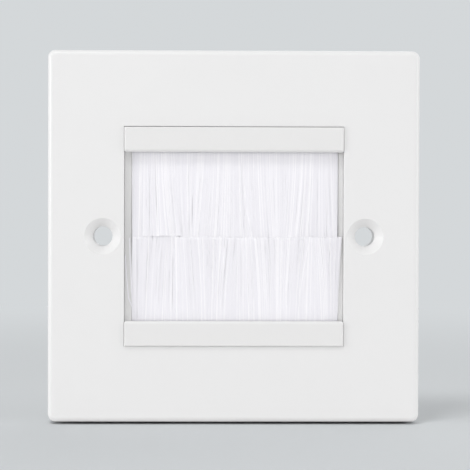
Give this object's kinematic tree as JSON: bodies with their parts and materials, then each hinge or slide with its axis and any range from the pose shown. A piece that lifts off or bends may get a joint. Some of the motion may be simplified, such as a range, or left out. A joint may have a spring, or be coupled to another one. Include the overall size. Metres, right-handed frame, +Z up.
{
  "type": "cable pass-through wall plate",
  "caption": "Square wall plate whose middle opening is closed by two facing brushes that let cables through, fixed by screws at each side.",
  "frame": {"origin": "centre of the plate on the wall plane, midway between the two fixing holes", "axes": "+X to the right seen from the front, +Y into the wall, so the front faces -Y, +Z up"},
  "size_m": [0.086, 0.011, 0.086],
  "materials": {
    "plate_plastic": "white moulded plastic, satin",
    "frame_plastic": "white moulded plastic, satin",
    "galvanised_steel": "zinc plated strip",
    "steel_wire": "drawn wire",
    "nylon_bristle": "white nylon filament"
  },
  "bodies": {
    "root": {"face_plate": "plate_plastic", "brush_frame": "frame_plastic", "upper_brush_channel": "galvanised_steel", "lower_brush_channel": "galvanised_steel", "upper_core_wire": "steel_wire", "lower_core_wire": "steel_wire", "upper_bristles": "nylon_bristle", "lower_bristles": "nylon_bristle"}
  },
  "joints": []
}
